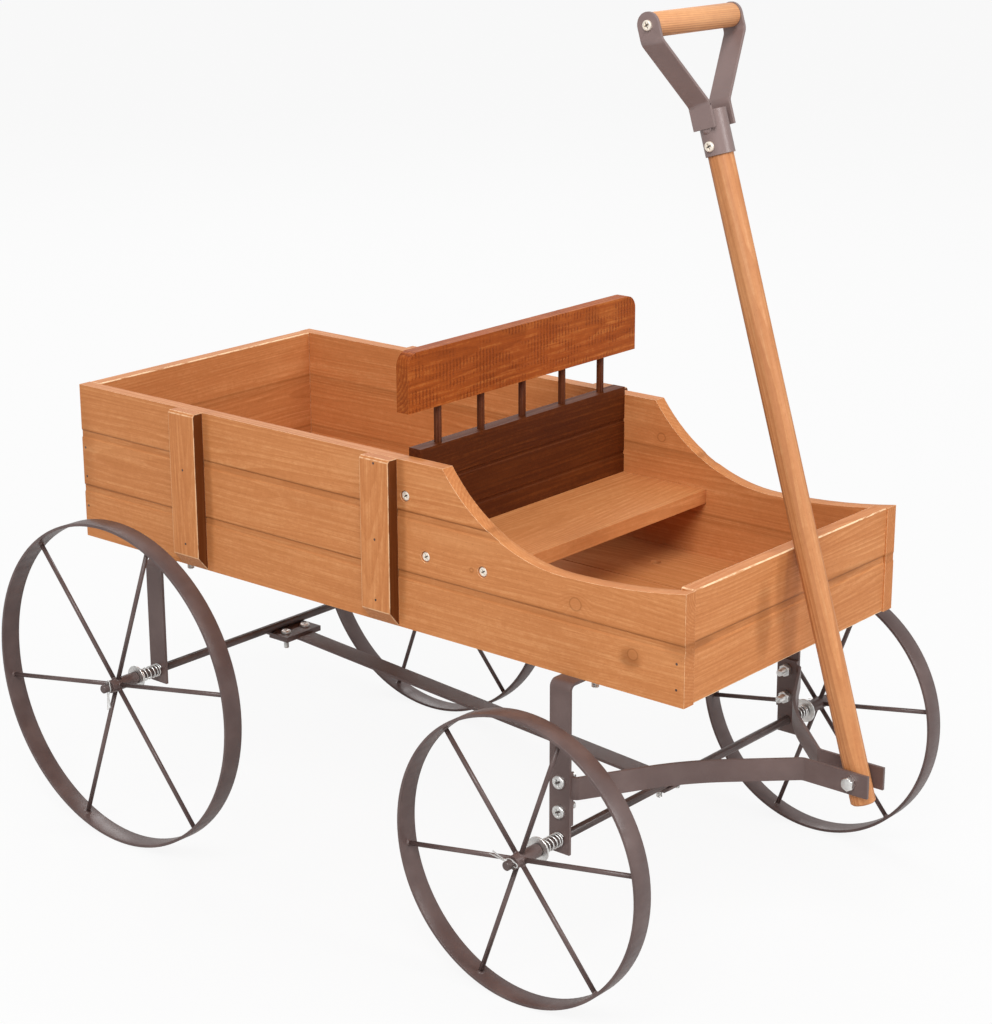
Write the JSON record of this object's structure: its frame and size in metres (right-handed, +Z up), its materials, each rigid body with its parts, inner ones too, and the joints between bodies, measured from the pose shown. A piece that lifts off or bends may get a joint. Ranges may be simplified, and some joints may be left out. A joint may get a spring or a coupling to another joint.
{
  "type": "flower cart stand",
  "caption": "Wooden wagon planter on spoked iron wheels, with a small bench across the box and a hinged pull handle leaning on its front panel.",
  "frame": {"origin": "on the floor, below the centre of the overall bounding box", "axes": "+X forward to the pull handle's hinge, +Y to the cart's left, +Z up"},
  "size_m": [0.6364, 0.3636, 0.5975],
  "materials": {
    "box_wood": "stained fir, semi-matte",
    "bench_wood": "darker red-brown stain, semi-matte",
    "handle_wood": "stained turned wood, semi-matte",
    "painted_iron": "matte brown-grey powder coat",
    "zinc": "zinc plated"
  },
  "bodies": {
    "cart": {"side_panel_right": "box_wood", "side_panel_left": "box_wood", "rear_panel": "box_wood", "front_panel": "box_wood", "batten_rear_right": "box_wood", "batten_rear_left": "box_wood", "batten_front_right": "box_wood", "batten_front_left": "box_wood", "floor_board_right": "box_wood", "floor_board_middle": "box_wood", "floor_board_left": "box_wood", "seat_board": "box_wood", "seat_back_board": "bench_wood", "backrest_rail": "bench_wood", "back_spindles": "bench_wood", "rear_bracket": "painted_iron", "front_bracket": "painted_iron", "rear_axle": "painted_iron", "front_axle": "painted_iron", "rear_axle_tab": "painted_iron", "front_axle_tab": "painted_iron", "centre_brace": "painted_iron", "drawbar_arm_right": "painted_iron", "drawbar_arm_left": "painted_iron", "spring_washers": "zinc", "split_pins": "zinc", "side_screws": "zinc", "drawbar_bolts": "zinc", "drawbar_nuts": "zinc", "floor_bolts": "zinc", "floor_nuts": "zinc", "brace_bolts": "zinc", "pole_bolt": "zinc", "pole_nut": "zinc", "spring_rear_right": "zinc", "spring_rear_left": "zinc", "spring_front_right": "zinc", "spring_front_left": "zinc"},
    "handle": {"pull_pole": "handle_wood", "grip_dowel": "handle_wood", "grip_socket": "painted_iron", "grip_strap_right": "painted_iron", "grip_strap_left": "painted_iron", "grip_screws": "zinc", "socket_screw": "zinc"},
    "wheel_rear_right": {"rim_rear_right": "painted_iron", "spokes_rear_right": "painted_iron", "hub_rear_right": "painted_iron"},
    "wheel_rear_left": {"rim_rear_left": "painted_iron", "spokes_rear_left": "painted_iron", "hub_rear_left": "painted_iron"},
    "wheel_front_right": {"rim_front_right": "painted_iron", "spokes_front_right": "painted_iron", "hub_front_right": "painted_iron"},
    "wheel_front_left": {"rim_front_left": "painted_iron", "spokes_front_left": "painted_iron", "hub_front_left": "painted_iron"}
  },
  "joints": [
    {"name": "rear_right_wheel_spin", "type": "hinge", "parent": "cart", "child": "wheel_rear_right", "pos_m": [-0.19972, -0.1685, 0.1185], "axis": [0, 1, 0], "continuous": true},
    {"name": "rear_left_wheel_spin", "type": "hinge", "parent": "cart", "child": "wheel_rear_left", "pos_m": [-0.19972, 0.1685, 0.1185], "axis": [0, 1, 0], "continuous": true},
    {"name": "front_right_wheel_spin", "type": "hinge", "parent": "cart", "child": "wheel_front_right", "pos_m": [0.16928, -0.1685, 0.095], "axis": [0, 1, 0], "continuous": true},
    {"name": "front_left_wheel_spin", "type": "hinge", "parent": "cart", "child": "wheel_front_left", "pos_m": [0.16928, 0.1685, 0.095], "axis": [0, 1, 0], "continuous": true},
    {"name": "handle_swing", "type": "hinge", "parent": "cart", "child": "handle", "pos_m": [0.30522, 0, 0.1305], "axis": [0, 1, 0], "range_deg": [0, 120]}
  ]
}
